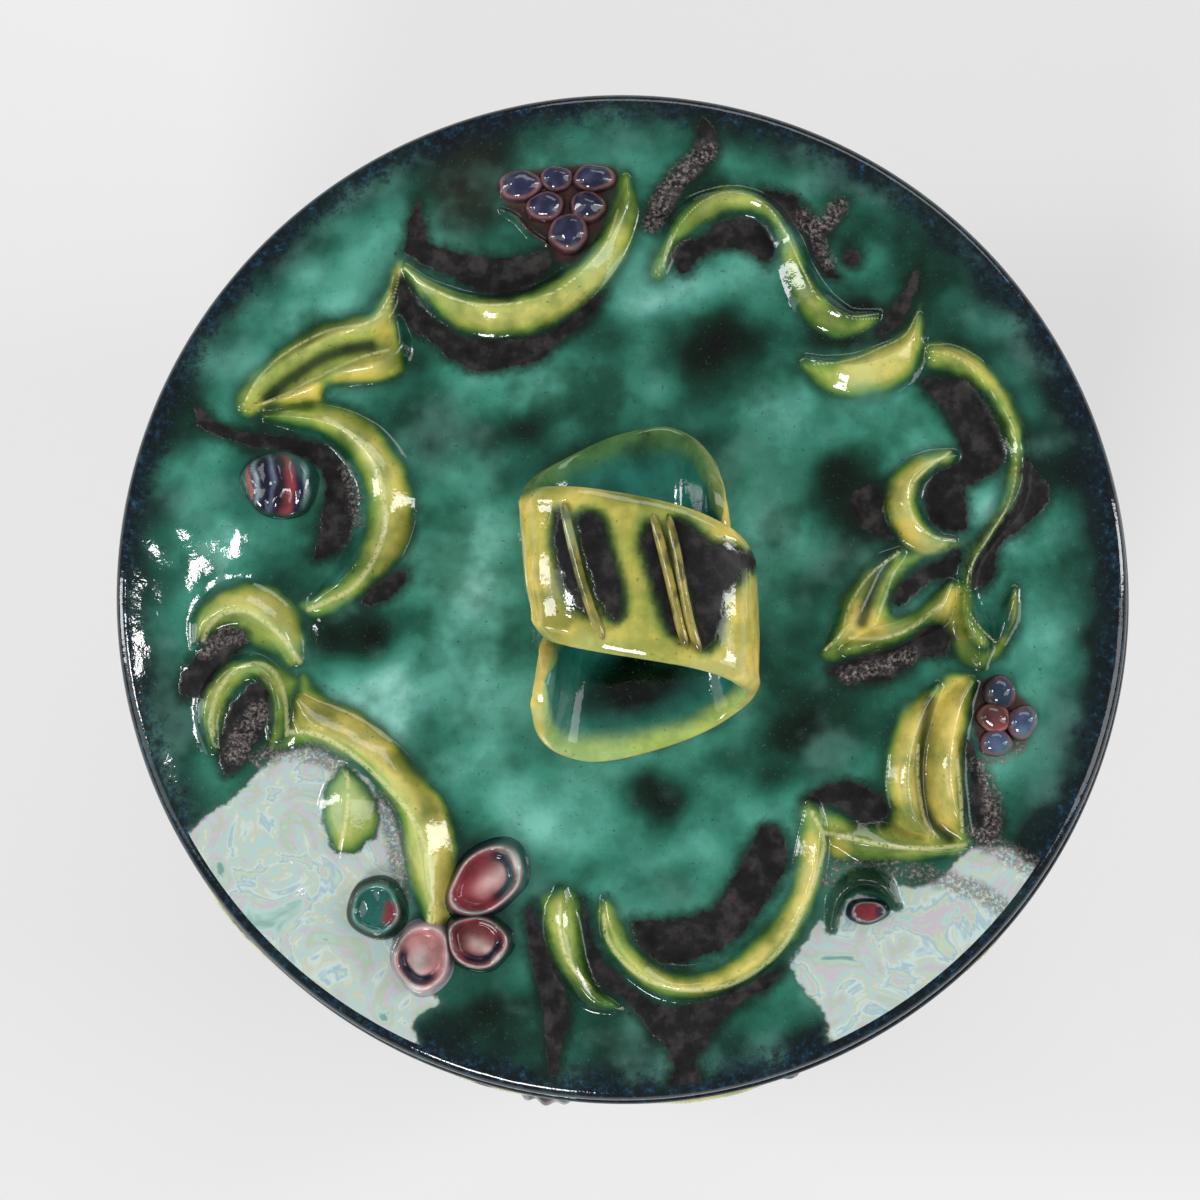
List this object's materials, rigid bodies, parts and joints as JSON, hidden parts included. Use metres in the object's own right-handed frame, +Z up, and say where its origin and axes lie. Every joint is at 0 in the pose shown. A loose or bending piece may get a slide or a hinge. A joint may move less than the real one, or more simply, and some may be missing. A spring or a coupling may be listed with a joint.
{
  "type": "lidded pot",
  "caption": "Round glazed earthenware pot with a lift-off domed lid, a wound strap handle and a raised garland of scrolls, leaves, berries and blossoms.",
  "frame": {"origin": "centre of the foot ring's resting plane, on the jar's turning axis", "axes": "+Z up out of the mouth, -Y towards the front, +X to the right"},
  "size_m": [0.1924, 0.1954, 0.2087],
  "materials": {
    "green_glaze": "glossy, mottled copper green",
    "yellow_green_glaze": "glossy, yellow thinning to green at the foot",
    "strap_glaze": "glossy yellow with dull black strokes",
    "berry_glaze": "glossy blue violet",
    "rose_glaze": "glossy rose, white and navy",
    "dark_green_glaze": "glossy dark green",
    "bare_clay": "dull bare earthenware"
  },
  "bodies": {
    "jar": {"jar_wall": "green_glaze", "foot_ring": "bare_clay", "body_scrolls": "yellow_green_glaze", "body_crescents": "yellow_green_glaze", "body_waves": "yellow_green_glaze", "body_curls": "yellow_green_glaze", "body_spurs": "yellow_green_glaze", "body_leaves": "yellow_green_glaze", "body_sickles": "yellow_green_glaze", "body_low_leaves": "yellow_green_glaze", "body_berries": "berry_glaze", "body_buds": "rose_glaze"},
    "lid": {"lid_plate": "green_glaze", "lid_flange": "bare_clay", "handle_strap": "strap_glaze", "handle_veins": "strap_glaze", "grape_tendril": "rose_glaze", "grape_crescent": "yellow_green_glaze", "leaf_back_ridge": "yellow_green_glaze", "leaf_front_ridge": "yellow_green_glaze", "bud_crescent": "yellow_green_glaze", "back_loop": "yellow_green_glaze", "front_loop": "yellow_green_glaze", "flower_stem": "yellow_green_glaze", "oval_leaf": "yellow_green_glaze", "short_rib": "yellow_green_glaze", "front_sickle": "yellow_green_glaze", "right_rib": "yellow_green_glaze", "inner_lobe": "yellow_green_glaze", "outer_lobe": "yellow_green_glaze", "curl_leaf": "yellow_green_glaze", "fan_left_ridge": "yellow_green_glaze", "fan_front_ridge": "yellow_green_glaze", "tall_scroll": "yellow_green_glaze", "drop_leaf": "yellow_green_glaze", "drop_spur": "yellow_green_glaze", "back_scroll": "yellow_green_glaze", "yellow_leaf": "yellow_green_glaze", "flower_petals": "rose_glaze", "flower_side_bud": "dark_green_glaze", "left_bud": "rose_glaze", "right_bud_hood": "dark_green_glaze", "right_bud_heart": "rose_glaze", "grape_berries": "berry_glaze", "right_berries": "berry_glaze"}
  },
  "joints": [
    {"name": "lid_lift", "type": "slide", "parent": "jar", "child": "lid", "axis": [0, 0, 1], "range_m": [0, 0.1]}
  ]
}
